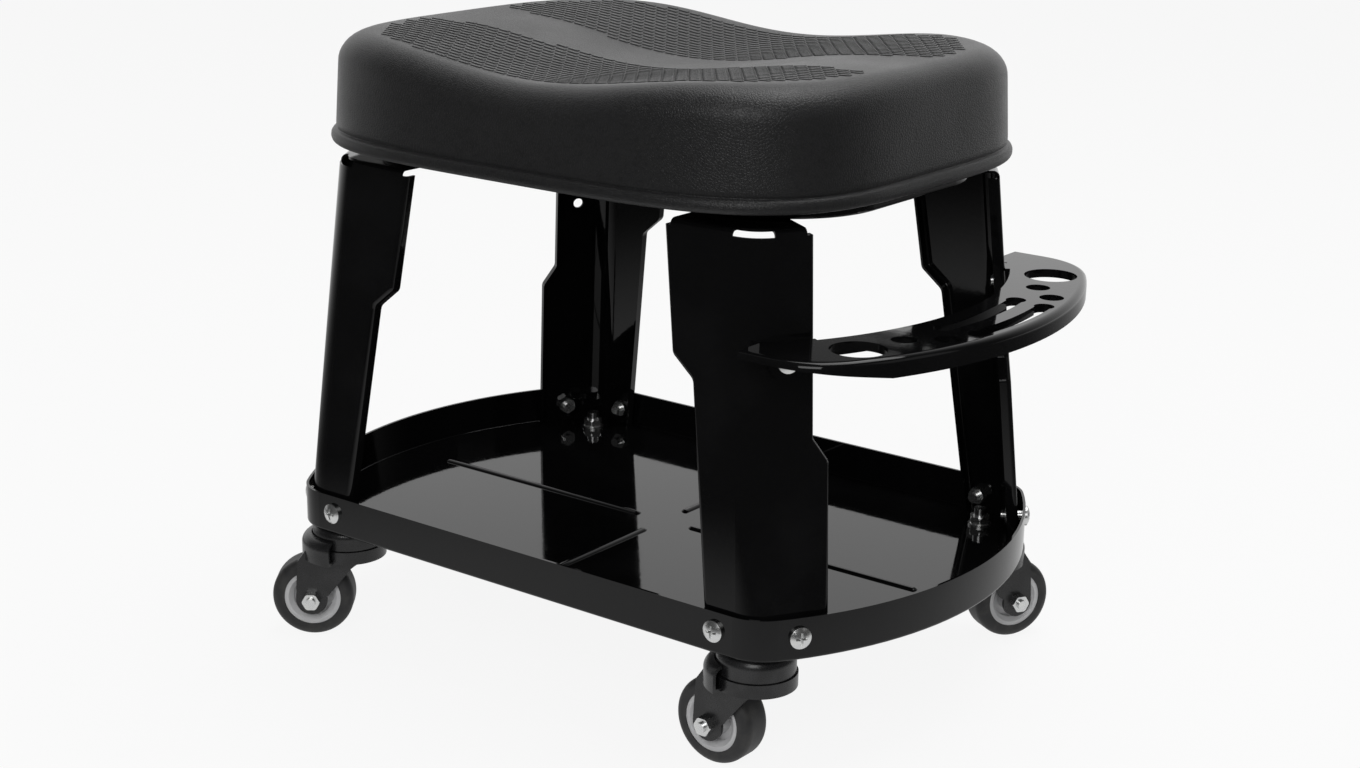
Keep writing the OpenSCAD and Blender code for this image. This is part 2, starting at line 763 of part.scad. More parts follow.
module tray() {
  corner_x = round_x(tray_arc_x, tray_end_radius, tray_half, tray_corner);
  end_turn = round_angle(tray_end_radius, tray_half, tray_corner);
  corner_turn = 90 - end_turn;
  edge_in = tray_bend + lap / 2;
  half_way = [
    [2 * corner_x, 0, 0], [0, tray_corner, corner_turn, 1],
    [0, tray_end_radius, 2 * end_turn], [0, tray_corner, corner_turn, 1]
  ];
  color("#0b0b0c") placed() difference() {
    union() {
      translate([0, 0, caster_height]) {
        linear_extrude(sheet) capped_shape(tray_arc_x, tray_end_radius - edge_in,
          tray_half - edge_in, tray_corner - edge_in);
        // The rim is swept past its height and one level cut ends it
        intersection() {
          translate([-corner_x, -tray_half, 0]) along(concat(half_way, half_way), true)
            mirror([0, 1]) turned_edge(tray_height + over, sheet, tray_bend);
          translate([0, 0, -over]) cylinder(h = tray_height + over, r = tray_length);
        }
      }
      intersection() {
        ribs();
        translate([0, 0, caster_height]) cylinder(h = tray_height, r = tray_length);
      }
    }
    each_rim_screw() translate([0, 0, -sheet - over])
      cylinder(h = sheet + 2 * over, r = screw_bore);
    for (sx = [-1, 1], sy = [-1, 1]) translate([sx * stem_x, sy * stem_y, caster_height - over])
      cylinder(h = sheet + 2 * over, r = stem_radius + hole_gap);
  }
}

module rim_screws() {
  grip = 2 * sheet + foot_gap_end + nut_height + lean_spare + screw_out;
  color("#c9ccd0") placed() each_rim_screw() pan_screw(grip);
}

module rim_nuts() {
  side_face = leg_at(rim_screw_height)[1] - sheet;
  end_face = flat_part(leg_at(rim_screw_height)) * end_normal - tray_arc_x * end_normal[0] - sheet;
  color("#c9ccd0") placed() for (sx = [-1, 1], sy = [-1, 1]) at_corner(sx, sy) {
    translate([leg_at(rim_screw_height)[0] - rim_screw_in, side_face - nut_stand * side_lean,
      rim_screw_height]) rotate([90, 0, 0]) hex_nut(nut_flats, nut_height, screw_radius + run_gap);
    translate([tray_arc_x, 0, rim_screw_height]) rotate([0, 0, end_angle])
      translate([end_face - nut_stand * end_lean, 0, 0]) rotate([0, -90, 0])
        hex_nut(nut_flats, nut_height, screw_radius + run_gap);
  }
}

// Tool rack

module rack_hole(angle, in, diameter) {
  rotate([0, 0, angle]) translate([rack_outer - in, 0]) circle(diameter / 2);
}

module rack_slot(in, half_angle, grow) {
  radius = rack_outer - in;
  far = 2 * radius;
  intersection() {
    difference() {
      circle(radius + slot_width / 2 + grow);
      circle(radius - slot_width / 2 - grow);
    }
    polygon([
      [0, 0], far * [cos(half_angle), -sin(half_angle)], far * [cos(half_angle), sin(half_angle)]
    ]);
  }
  for (side = [-1, 1]) rack_hole(side * half_angle, in, slot_end + 2 * grow);
}

// All the holes and slots, grown by the thickness of their collars for the collars' outsides
module rack_openings(grow) {
  for (side = [-1, 1]) {
    rack_hole(side * big_hole_angle, big_hole_in, big_hole + 2 * grow);
    rack_hole(side * outer_hole_angle, outer_hole_in, small_hole + 2 * grow);
    rack_hole(side * inner_hole_angle, inner_hole_in, small_hole + 2 * grow);
  }
  rack_slot(inner_slot_in, inner_slot_angle, grow);
  rack_slot(outer_slot_in, outer_slot_angle, grow);
}

// Wall turned down along the inner edge, between the legs
module inner_rim() {
  far = 2 * rack_inner;
  intersection() {
    difference() {
      circle(rack_inner + rack_sheet);
      circle(rack_inner);
    }
    polygon([
      [0, 0], far * [cos(inner_rim_angle), -sin(inner_rim_angle)],
      far * [cos(inner_rim_angle), sin(inner_rim_angle)]
    ]);
  }
}

module rack_plate() {
  face = flat_part(leg_at(rack_base)) + run_gap * end_normal;
  along_face = [end_along[0], end_along[1]];
  strip_end = rack_depth / 2;
  edge_in = rack_bend + lap / 2;
  difference() {
    intersection() {
      circle(rack_outer - edge_in);
      square([4 * rack_outer, 2 * (rack_half_y - edge_in)], center = true);
      translate([rack_tip_x, -2 * rack_outer]) square(4 * rack_outer);
    }
    for (my = [0, 1]) mirror([0, my]) translate([rack_corner_x, rack_half_y - rack_corner])
      difference() {
        reach = 2 * rack_corner;
        polygon([
          [0, 0], [0, reach], [reach, reach],
          reach * [cos(rack_corner_angle), sin(rack_corner_angle)]
        ]);
        circle(rack_corner - edge_in);
      }
    difference() {
      circle(rack_inner);
      for (my = [0, 1]) mirror([0, my]) polygon([
        face, face + strip_end * end_normal,
        face + strip_end * end_normal + end_width_high * along_face,
        face + end_width_high * along_face
      ]);
    }
    for (my = [0, 1]) mirror([0, my]) polygon([
      face - rack_depth * along_face, face + end_width_high * along_face,
      face + end_width_high * along_face - rack_depth * end_normal,
      face - rack_depth * along_face - rack_depth * end_normal
    ]);
  }
}

module rack_rim_sweep() {
  straight = rack_corner_x - rack_tip_x;
  corner_turn = 90 - rack_corner_angle;
  rim_base = -rack_rim - over;
  slant_run = (rim_slant + over) / (rack_rim - rim_left);
  difference() {
    translate([rack_tip_x, -rack_half_y, 0]) along([
      [straight, 0, 0], [0, rack_corner, corner_turn, -1],
      [0, rack_outer, 2 * rack_corner_angle], [0, rack_corner, corner_turn, -1],
      [straight, 0, 0]
    ]) turned_edge(rack_rim, rack_sheet, rack_bend);
    for (my = [0, 1]) mirror([0, my, 0]) rotate([90, 0, 90]) linear_extrude(2 * rack_outer) polygon([
      [rack_half_y + over, rim_base], [rack_half_y + over, -rim_left],
      [rack_half_y - rim_slant - over * slant_run, rim_base]
    ]);
  }
}

module tool_rack() {
  rise = (rack_base - rack_screw_z) / end_frame_up[2];
  color("#0b0b0c") placed() {
    difference() {
      union() {
        translate([0, 0, rack_base]) linear_extrude(rack_sheet) rack_plate();
        translate([0, 0, rack_top - collar_depth])
          linear_extrude(collar_depth - rack_sheet / 2) rack_openings(collar_sheet);
        translate([0, 0, rack_top - rack_inner_rim])
          linear_extrude(rack_inner_rim - rack_sheet / 2) inner_rim();
      }
      translate([0, 0, rack_top - collar_depth - over])
        linear_extrude(collar_depth + 2 * over) rack_openings(0);
    }
    translate([0, 0, rack_top]) rack_rim_sweep();
    for (sy = [-1, 1]) at_corner(1, sy) difference() {
      on_end_flange(rack_screw_z, ear_in) linear_extrude(rack_sheet) {
        circle(ear_radius);
        translate([-ear_radius, 0]) square([2 * ear_radius, rise + rack_sheet / 2]);
      }
      on_end_flange(rack_screw_z, ear_in) translate([0, 0, -over])
        cylinder(h = rack_sheet + 2 * over, r = screw_bore);
    }
  }
}

module rack_screws() {
  grip = rack_sheet + sheet + nut_height + screw_out;
  color("#c9ccd0") placed() for (sy = [-1, 1]) at_corner(1, sy)
    on_end_flange(rack_screw_z, ear_in) translate([0, 0, rack_sheet]) pan_screw(grip);
}

module rack_nuts() {
  color("#c9ccd0") placed() for (sy = [-1, 1]) at_corner(1, sy)
    on_end_flange(rack_screw_z, ear_in) translate([0, 0, -sheet - nut_height])
      hex_nut(nut_flats, nut_height, screw_radius + run_gap);
}

// Casters, drawn with the stem on the z axis and the wheel towards +X

module at_stem(sx, sy, turn) {
  placed() translate([sx * stem_x, sy * stem_y, 0]) rotate([0, 0, turn]) children();
}

// On the axle, with z along it towards the nut; side tells on which cheek the nut sits
module on_axle(side) {
  translate([caster_trail, 0, wheel_radius]) rotate([-90 * side, 0, 0]) children();
}

module stem() {
  stem_top = floor_top + stem_washer + stem_nut + stem_out;
  translate([0, 0, crown_base - pin_head - run_gap]) cylinder(h = pin_head, r = pin_head_radius);
  translate([0, 0, crown_base - run_gap]) cylinder(h = caster_height - crown_base + run_gap, r = pin_radius);
  translate([0, 0, caster_height]) cylinder(h = stem_top - caster_height, r = stem_radius);
}

module race() {
  difference() {
    rotate_extrude() {
      translate([0, race_base]) square([race_foot_radius, race_foot]);
      translate([0, race_base + race_foot])
        square([race_radius, caster_height - race_base - race_foot - race_round]);
      translate([0, caster_height - race_round]) square([race_radius - race_round, race_round]);
      translate([race_radius - race_round, caster_height - race_round]) circle(race_round);
    }
    translate([0, 0, race_base - over])
      cylinder(h = caster_height - race_base + 2 * over, r = pin_radius + run_gap);
  }
}

module fork() {
  hood_top = crown_base + hood_height;
  hood_inner = hood_radius - fork_sheet;
  difference() {
    union() {
      translate([0, 0, crown_base]) cylinder(h = fork_sheet, r = crown_radius);
      rotate([0, 0, -hood_spread]) rotate_extrude(angle = 2 * hood_spread) {
        translate([0, crown_base]) square([hood_radius, fork_sheet]);
        translate([hood_inner, crown_base]) square([fork_sheet, hood_height - hood_round]);
        translate([hood_radius - hood_round, hood_top - hood_round]) intersection() {
          difference() {
            circle(hood_round);
            circle(hood_round - fork_sheet);
          }
          square(hood_round);
        }
      }
      translate([0, 0, crown_base]) difference() {
        cylinder(h = crown_rim, r = crown_radius);
        translate([0, 0, -over]) cylinder(h = crown_rim + 2 * over, r = crown_radius - fork_sheet);
      }
      for (side = [-1, 1]) translate([0, side * (cheek_inner + cheek_outer) / 2, 0])
        rotate([90, 0, 0]) linear_extrude(fork_sheet, center = true) cheek();
    }
    translate([0, 0, crown_base - over]) cylinder(h = fork_sheet + 2 * over, r = pin_radius + run_gap);
    translate([caster_trail, 0, wheel_radius]) rotate([90, 0, 0])
      cylinder(h = 2 * (cheek_outer + over), r = axle_radius + run_gap, center = true);
  }
}

// Outline of a fork cheek: straight down the wheel side, slanted on the other, round at the axle
module cheek() {
  translate([caster_trail, wheel_radius]) circle(cheek_end);
  polygon([
    [caster_trail + cheek_end, wheel_radius],
    [caster_trail + cheek_end - cheek_lean, crown_base - cheek_lean],
    [hood_reach + cheek_lean, crown_top + cheek_lean],
    [hood_reach, crown_top + cheek_rise],
    [hood_reach - cheek_rise, crown_top],
    [-cheek_start, crown_top],
    [-cheek_start, crown_base],
    [-cheek_lead, crown_base - cheek_shoulder],
    [caster_trail - cheek_waist_out, wheel_radius + cheek_waist_up],
    [caster_trail, wheel_radius]
  ]);
}

module balls() {
  for (i = [0:ball_count - 1]) rotate([0, 0, 360 * i / ball_count])
    translate([ball_circle, 0, crown_top + ball_radius]) sphere(ball_radius);
}

module bush(side) {
  on_axle(side) difference() {
    cylinder(h = 2 * cheek_inner, r = bush_radius, center = true);
    cylinder(h = 2 * (cheek_inner + over), r = axle_radius + run_gap, center = true);
  }
}

module axle_bolt(side) {
  ease = sqrt(pow(axle_flats / 2 + nut_ease, 2) + pow(axle_head / 2, 2));
  on_axle(side) {
    translate([0, 0, -cheek_outer])
      cylinder(h = 2 * cheek_outer + axle_nut + axle_out, r = axle_radius);
    translate([0, 0, -cheek_outer - axle_head]) intersection() {
      cylinder(h = axle_head, r = axle_flats / sqrt(3), $fn = 6);
      translate([0, 0, axle_head / 2]) sphere(ease);
    }
  }
}

module axle_nut(side) {
  on_axle(side) translate([0, 0, cheek_outer])
    hex_nut(axle_flats, axle_nut, axle_radius + run_gap);
}

module hub() {
  half = wheel_width / 2 - hub_face_in;
  boss_half = cheek_inner - hub_gap;
  web_outer = hub_radius - hub_lip;
  on_axle(1) rotate_extrude() difference() {
    union() {
      translate([bush_radius + run_gap, -boss_half])
        square([hub_boss - bush_radius - run_gap, 2 * boss_half]);
      translate([bush_radius + run_gap, -hub_web])
        square([hub_radius - run_gap - bush_radius - run_gap, 2 * hub_web]);
      translate([web_outer - hub_lip, -half]) square([2 * hub_lip - run_gap, 2 * half]);
    }
    for (side = [-1, 1]) polygon([
      [web_outer - hub_lip - over, side * (half - hub_lip - over)],
      [web_outer + over, side * (half + over)],
      [web_outer - hub_lip - over, side * (half + over)]
    ]);
  }
}

module tyre() {
  half = wheel_width / 2;
  on_axle(1) rotate_extrude() intersection() {
    union() {
      translate([hub_radius, -half]) square([wheel_radius - tyre_round - hub_radius, 2 * half]);
      translate([hub_radius, tyre_round - half])
        square([wheel_radius - hub_radius, 2 * (half - tyre_round)]);
      for (side = [-1, 1])
        translate([wheel_radius - tyre_round, side * (half - tyre_round)]) circle(tyre_round);
    }
    translate([hub_radius, -half]) square([wheel_radius - hub_radius, 2 * half]);
  }
}

module caster_washers() {
  color("#c9ccd0") for (sx = [-1, 1], sy = [-1, 1]) at_stem(sx, sy, 0) translate([0, 0, floor_top])
    difference() {
      cylinder(h = stem_washer, r = stem_washer_radius);
      translate([0, 0, -over]) cylinder(h = stem_washer + 2 * over, r = stem_radius + run_gap);
    }
}

module caster_nuts() {
  color("#c9ccd0") for (sx = [-1, 1], sy = [-1, 1]) at_stem(sx, sy, 0)
    translate([0, 0, floor_top + stem_washer]) hex_nut(stem_nut_flats, stem_nut, stem_radius + run_gap);
}

module at_front_left() { at_stem(-1, -1, turn_front_left) children(); }
module at_front_right() { at_stem(1, -1, turn_front_right) children(); }
module at_rear_left() { at_stem(-1, 1, turn_rear_left) children(); }
module at_rear_right() { at_stem(1, 1, turn_rear_right) children(); }

module stem_front_left() { color("#a8abb0") at_front_left() stem(); }
module stem_front_right() { color("#a8abb0") at_front_right() stem(); }
module stem_rear_left() { color("#a8abb0") at_rear_left() stem(); }
module stem_rear_right() { color("#a8abb0") at_rear_right() stem(); }
module race_front_left() { color("#161618") at_front_left() race(); }
module race_front_right() { color("#161618") at_front_right() race(); }
module race_rear_left() { color("#161618") at_rear_left() race(); }
module race_rear_right() { color("#161618") at_rear_right() race(); }
module fork_front_left() { color("#161618") at_front_left() fork(); }
module fork_front_right() { color("#161618") at_front_right() fork(); }
module fork_rear_left() { color("#161618") at_rear_left() fork(); }
module fork_rear_right() { color("#161618") at_rear_right() fork(); }
module balls_front_left() { color("#d4d6da") at_front_left() balls(); }
module balls_front_right() { color("#d4d6da") at_front_right() balls(); }
module balls_rear_left() { color("#d4d6da") at_rear_left() balls(); }
module balls_rear_right() { color("#d4d6da") at_rear_right() balls(); }
module bush_front_left() { color("#a8abb0") at_front_left() bush(1); }
module bush_front_right() { color("#a8abb0") at_front_right() bush(1); }
module bush_rear_left() { color("#a8abb0") at_rear_left() bush(1); }
module bush_rear_right() { color("#a8abb0") at_rear_right() bush(1); }
module axle_bolt_front_left() { color("#c9ccd0") at_front_left() axle_bolt(1); }
module axle_bolt_front_right() { color("#c9ccd0") at_front_right() axle_bolt(1); }
module axle_bolt_rear_left() { color("#c9ccd0") at_rear_left() axle_bolt(1); }
module axle_bolt_rear_right() { color("#c9ccd0") at_rear_right() axle_bolt(-1); }
module axle_nut_front_left() { color("#c9ccd0") at_front_left() axle_nut(1); }
module axle_nut_front_right() { color("#c9ccd0") at_front_right() axle_nut(1); }
module axle_nut_rear_left() { color("#c9ccd0") at_rear_left() axle_nut(1); }
module axle_nut_rear_right() { color("#c9ccd0") at_rear_right() axle_nut(-1); }
module hub_front_left() { color("#b9babc") at_front_left() hub(); }
module hub_front_right() { color("#b9babc") at_front_right() hub(); }
module hub_rear_left() { color("#b9babc") at_rear_left() hub(); }
module hub_rear_right() { color("#b9babc") at_rear_right() hub(); }
module tyre_front_left() { color("#1c1c1e") at_front_left() tyre(); }
module tyre_front_right() { color("#1c1c1e") at_front_right() tyre(); }
module tyre_rear_left() { color("#1c1c1e") at_rear_left() tyre(); }
module tyre_rear_right() { color("#1c1c1e") at_rear_right() tyre(); }

seat_cushion();
seat_board();
seat_pan();
leg_front_left();
leg_front_right();
leg_rear_left();
leg_rear_right();
tray();
tool_rack();
rim_screws();
rim_nuts();
rack_screws();
rack_nuts();
seat_screws();
caster_washers();
caster_nuts();
stem_front_left();
stem_front_right();
stem_rear_left();
stem_rear_right();
race_front_left();
race_front_right();
race_rear_left();
race_rear_right();
fork_front_left();
fork_front_right();
fork_rear_left();
fork_rear_right();
balls_front_left();
balls_front_right();
balls_rear_left();
balls_rear_right();
bush_front_left();
bush_front_right();
bush_rear_left();
bush_rear_right();
axle_bolt_front_left();
axle_bolt_front_right();
axle_bolt_rear_left();
axle_bolt_rear_right();
axle_nut_front_left();
axle_nut_front_right();
axle_nut_rear_left();
axle_nut_rear_right();
hub_front_left();
hub_front_right();
hub_rear_left();
hub_rear_right();
tyre_front_left();
tyre_front_right();
tyre_rear_left();
tyre_rear_right();
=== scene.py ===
# %% [markdown]
# # A rolling workshop seat
# The seat is a padded saddle cushion on a pressed pan, four folded steel legs, a parts tray with a
# curved tool rack, and four swivel casters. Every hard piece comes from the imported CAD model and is
# only dressed here. The soft cover of the cushion is modelled in this file and takes the place of
# the plain CAD solid.

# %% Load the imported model
import math

import bmesh
import bpy
import numpy as np
from mathutils import Matrix, Vector
from mathutils.bvhtree import BVHTree


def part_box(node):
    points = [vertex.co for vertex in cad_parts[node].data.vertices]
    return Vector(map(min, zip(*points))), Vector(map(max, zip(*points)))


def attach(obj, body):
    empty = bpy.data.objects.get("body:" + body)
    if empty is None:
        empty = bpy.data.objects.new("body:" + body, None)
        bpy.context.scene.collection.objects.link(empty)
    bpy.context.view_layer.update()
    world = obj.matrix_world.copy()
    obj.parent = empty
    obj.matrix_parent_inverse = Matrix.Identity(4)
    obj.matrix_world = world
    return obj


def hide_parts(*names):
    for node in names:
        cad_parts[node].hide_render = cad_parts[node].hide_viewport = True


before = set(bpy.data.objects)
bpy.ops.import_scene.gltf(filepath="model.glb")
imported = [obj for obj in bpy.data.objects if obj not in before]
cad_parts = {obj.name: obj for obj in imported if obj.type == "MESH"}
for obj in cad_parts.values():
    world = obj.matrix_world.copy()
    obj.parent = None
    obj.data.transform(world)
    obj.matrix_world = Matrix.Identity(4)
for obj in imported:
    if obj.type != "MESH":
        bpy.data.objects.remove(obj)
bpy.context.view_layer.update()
MM = 0.001

# %% [markdown]
# ## The camera
# The object is seen from its front right corner and a little from above. The camera's place, its
# turn and its focal length were worked out from the tray's outline and the wheels, so the render
# shows the seat in the photograph's own perspective.

# %% Place the camera
CAMERA_PLACE = Vector((0.79085, -1.06046, 0.5641))
AZIMUTH, ELEVATION, ROLL = (math.radians(angle) for angle in (36.95, 16.73, 0.87))
SENSOR, LENS, CLIP_END = 36, 59.68, 50


def camera_turn():
    """Rotation whose columns point to the picture's right, to its top and back to the viewer."""
    back = Vector((
        math.sin(AZIMUTH) * math.cos(ELEVATION),
        -math.cos(AZIMUTH) * math.cos(ELEVATION),
        math.sin(ELEVATION),
    ))
    right = Vector((math.cos(AZIMUTH), math.sin(AZIMUTH), 0))
    up = back.cross(right)
    rolled_right = right * math.cos(ROLL) + up * math.sin(ROLL)
    rolled_up = up * math.cos(ROLL) - right * math.sin(ROLL)
    return Matrix((rolled_right, rolled_up, back)).transposed()


camera_data = bpy.data.cameras.new("camera")
camera_data.sensor_width = SENSOR
camera_data.lens = LENS
camera_data.clip_end = CLIP_END
camera = bpy.data.objects.new("camera", camera_data)
camera.matrix_world = Matrix.Translation(CAMERA_PLACE) @ camera_turn().to_4x4()
bpy.context.scene.collection.objects.link(camera)
bpy.context.scene.camera = camera
print("camera at", tuple(round(value, 3) for value in CAMERA_PLACE))

# %% [markdown]
# ## A short way to write shaders
# A material is a small graph of nodes. The class below wraps one socket of that graph, so that sums
# and products of values can be written as plain expressions, and each of them adds its Math node.

# %% Helpers for node graphs


class Wire:
    """An output socket of a material's graph, with the arithmetic that its values take."""

    def __init__(self, paint, socket):
        self.paint, self.socket = paint, socket

    def _math(self, operation, *values):
        return self.paint.node("Math", {"operation": operation}, *values)

    def __add__(self, other): return self._math("ADD", self, other)
    def __radd__(self, other): return self._math("ADD", other, self)
    def __sub__(self, other): return self._math("SUBTRACT", self, other)
    def __rsub__(self, other): return self._math("SUBTRACT", other, self)
    def __mul__(self, other): return self._math("MULTIPLY", self, other)
    def __rmul__(self, other): return self._math("MULTIPLY", other, self)


class Paint:
    """A material, or the world's light, whose graph is written node by node."""

    def __init__(self, owner, finish):
        owner.use_nodes = True
        self.tree = owner.node_tree
        self.tree.nodes.clear()
        self.end = self.tree.nodes.new(f"ShaderNode{finish}")

    def put(self, socket, value):
        """Links a wire to a socket, or sets the socket's own value."""
        if isinstance(value, Wire):
            self.tree.links.new(value.socket, socket)
        else:
            socket.default_value = value

    def node(self, kind, settings=None, *values, out=0, **named):
        """Adds a node: its settings first, then its sockets by place or by name."""
        made = self.tree.nodes.new(f"ShaderNode{kind}")
        for key, value in (settings or {}).items():
            if key == "stops":
                for stop, (place, colour) in zip(made.color_ramp.elements, value):
                    stop.position, stop.color = place, (*colour, 1)
            else:
                setattr(made, key, value)
        for place, value in enumerate(values):
            self.put(made.inputs[place], value)
        for name, value in named.items():
            self.put(made.inputs[name.replace("_", " ")], value)
        return Wire(self, made.outputs[out])

    def place(self, stretch=(1, 1, 1)):
        """The object's own coordinates in metres, stretched along the axes."""
        spot = self.node("TexCoord", out="Object")
        return self.node("Mapping", None, Vector=spot, Scale=stretch)

    def noise(self, size, detail=2, stretch=(1, 1, 1)):
        """Soft noise whose blots are about size metres across, as a value from 0 to 1."""
        return self.node("TexNoise", None, Vector=self.place(stretch), Scale=1 / size,
                         Detail=detail)

    def blend(self, amount, low, high):
        """A colour between two colours."""
        return self.node("MixRGB", None, amount, (*low, 1), (*high, 1))

    def bump(self, height, depth):
        """A bump whose height is given from 0 to 1 and which is depth metres deep."""
        return self.node("Bump", None, Height=height, Distance=depth)

    def surface(self, **named):
        """The principled shader, linked to the material's output."""
        shader = self.node("BsdfPrincipled", None, **named)
        self.put(self.end.inputs["Surface"], shader)
        return shader


def new_material(name):
    """A new material beside the plain one of that name that the frame brings along."""
    material = bpy.data.materials.new(f"{name}_finish")
    return Paint(material, "OutputMaterial"), material


def clamp_step(wire, low, high):
    """A soft step of a value: 0 up to low, 1 from high."""
    return wire.paint.node("MapRange", {"interpolation_type": "SMOOTHSTEP"}, wire, low, high)


print("node helpers ready")

# %% [markdown]
# ## Gloss powder coat
# The legs, the tray, the pan and the rack are coated in gloss black powder. On the real seat it
# melts into a film that is nearly a mirror but keeps a faint orange peel, and fine dust settles on
# it. The peel is a very shallow bump, and the dust is a little colour and roughness in soft blots
# and fine specks.

# %% Powder coat
PEEL_SIZE, PEEL_DEPTH = 3.5 * MM, 0.008 * MM
BLOT_SIZE, SPECK_SIZE = 50 * MM, 0.8 * MM
CLEAN_POWDER, DUSTY_POWDER = (0.003, 0.003, 0.0032), (0.009, 0.009, 0.0095)
POWDER_ROUGH, BLOT_ROUGH, SPECK_ROUGH = 0.045, 0.03, 0.06


def powder_coat():
    paint, material = new_material("powder_coat")
    peel = paint.noise(PEEL_SIZE, 1)
    blots = clamp_step(paint.noise(BLOT_SIZE, 4), 0.45, 0.75)
    specks = clamp_step(paint.noise(SPECK_SIZE, 0), 0.74, 0.8)
    dust = blots * 0.35 + specks * 0.5
    paint.surface(
        Base_Color=paint.blend(dust, CLEAN_POWDER, DUSTY_POWDER),
        Specular_IOR_Level=0.3,
        Roughness=POWDER_ROUGH + blots * BLOT_ROUGH + specks * SPECK_ROUGH,
        Normal=paint.bump(peel, PEEL_DEPTH),
    )
    return material


POWDER_COAT = powder_coat()
print("made", POWDER_COAT.name)

# %% [markdown]
# ## Satin coat of the casters
# The forks and the bearing housings are dipped or painted in a duller black. Its grain is finer,
# and soft blots of it are rubbed a little brighter.

# %% Caster coat
COAT_GRAIN, COAT_GRAIN_DEPTH, RUBBED_SIZE = 0.6 * MM, 0.03 * MM, 12 * MM
FRESH_COAT, RUBBED_COAT = (0.010, 0.010, 0.0106), (0.022, 0.022, 0.023)
COAT_ROUGH, COAT_ROUGH_RANGE = 0.22, 0.12


def caster_coat():
    paint, material = new_material("caster_coat")
    grain = paint.noise(COAT_GRAIN, 2)
    blots = clamp_step(paint.noise(RUBBED_SIZE, 3), 0.4, 0.7)
    paint.surface(
        Base_Color=paint.blend(blots, FRESH_COAT, RUBBED_COAT),
        Roughness=COAT_ROUGH + grain * COAT_ROUGH_RANGE,
        Normal=paint.bump(grain, COAT_GRAIN_DEPTH),
    )
    return material


CASTER_COAT = caster_coat()
print("made", CASTER_COAT.name)

# %% [markdown]
# ## Zinc and bright steel
# Screws, nuts and washers are zinc plated: a soft silver with cloudy blue and straw tints. Stems,
# balls and bushes are bare steel, a little darker and smoother, with fine turning marks.

# %% Plated and bare metals
CLOUD_SIZE, MARK_DEPTH = 4 * MM, 0.02 * MM
MARK_STRETCH = (1, 1, 6)


def metal(name, low, high, rough, rough_range, mark_size):
    """A metal between two colours, whose fine marks vary its roughness from rough upwards."""
    paint, material = new_material(name)
    clouds = paint.noise(CLOUD_SIZE, 3)
    marks = paint.noise(mark_size, 2, MARK_STRETCH)
    paint.surface(
        Base_Color=paint.blend(clouds, low, high),
        Metallic=1.0,
        Roughness=rough + marks * rough_range,
        Normal=paint.bump(marks, MARK_DEPTH),
    )
    return material


ZINC = metal("zinc", (0.66, 0.67, 0.69), (0.84, 0.84, 0.81), 0.16, 0.2, 0.7 * MM)
BRIGHT_STEEL = metal("bright_steel", (0.44, 0.44, 0.45), (0.62, 0.62, 0.62), 0.14, 0.16, 0.5 * MM)
print("made", ZINC.name, BRIGHT_STEEL.name)

# %% [markdown]
# ## Wheels
# A hub is moulded in light grey plastic with a slight haze, and the tyre round it is soft black
# rubber. The tread is rubbed paler in soft blots and has a fine grain.

# %% Hub plastic and tread
HAZE_SIZE, HUB_GRAIN, HUB_GRAIN_DEPTH = 6 * MM, 0.4 * MM, 0.02 * MM
HUB_SHADE, HUB_HAZE = (0.62, 0.62, 0.63), (0.72, 0.72, 0.725)
RUB_SIZE, TREAD_GRAIN, TREAD_GRAIN_DEPTH = 8 * MM, 0.5 * MM, 0.05 * MM
TREAD_BLACK, TREAD_RUBBED = (0.019, 0.019, 0.020), (0.042, 0.041, 0.039)


def hub_plastic():
    paint, material = new_material("hub_plastic")
    haze = paint.noise(HAZE_SIZE, 3)
    grain = paint.noise(HUB_GRAIN, 1)
    paint.surface(
        Base_Color=paint.blend(haze, HUB_SHADE, HUB_HAZE),
        Roughness=0.32 + grain * 0.16,
        Normal=paint.bump(grain, HUB_GRAIN_DEPTH),
    )
    return material


def tread():
    paint, material = new_material("tread")
    grain = paint.noise(TREAD_GRAIN, 3)
    rub = clamp_step(paint.noise(RUB_SIZE, 4), 0.4, 0.75)
    paint.surface(
        Base_Color=paint.blend(rub, TREAD_BLACK, TREAD_RUBBED),
        Roughness=0.42 + grain * 0.2,
        Normal=paint.bump(grain, TREAD_GRAIN_DEPTH),
    )
    return material


HUB_PLASTIC, TREAD = hub_plastic(), tread()
print("made", HUB_PLASTIC.name, TREAD.name)

# %% [markdown]
# ## Board
# The board in the pan is pressed wood: warm brown with short darker fibres that lie along it.

# %% Board
FIBRE_SIZE, FIBRE_DEPTH = 1.5 * MM, 0.1 * MM
FIBRE_STRETCH = (0.12, 1, 1)


def board():
    paint, material = new_material("board")
    fibres = paint.noise(FIBRE_SIZE, 4, FIBRE_STRETCH)
    paint.surface(
        Base_Color=paint.blend(fibres, (0.16, 0.09, 0.045), (0.42, 0.29, 0.17)),
        Roughness=0.6 + fibres * 0.2,
        Normal=paint.bump(fibres, FIBRE_DEPTH),
    )
    return material


BOARD = board()
print("made", BOARD.name)

# %% [markdown]
# ## Moulded seat skin
# The cushion is foam in one moulded skin of dark grey polyurethane, matt, with a fine leather
# grain. The grain is a mesh of tiny cells with shallow creases between them, and the creases are
# painted darker as shade. Large soft blots vary the sheen where the skin was touched.

# %% Seat skin
CELLS_PER_METRE = 650
PORE_SIZE, TOUCHED_SIZE, SKIN_DEPTH = 0.5 * MM, 60 * MM, 0.12 * MM
# The dark colour is the skin's darker tone, and it is also the painted shade in the creases.
SKIN_DARK_AND_CREASE_SHADE, SKIN_LIGHT = (0.011, 0.011, 0.0115), (0.019, 0.019, 0.0196)


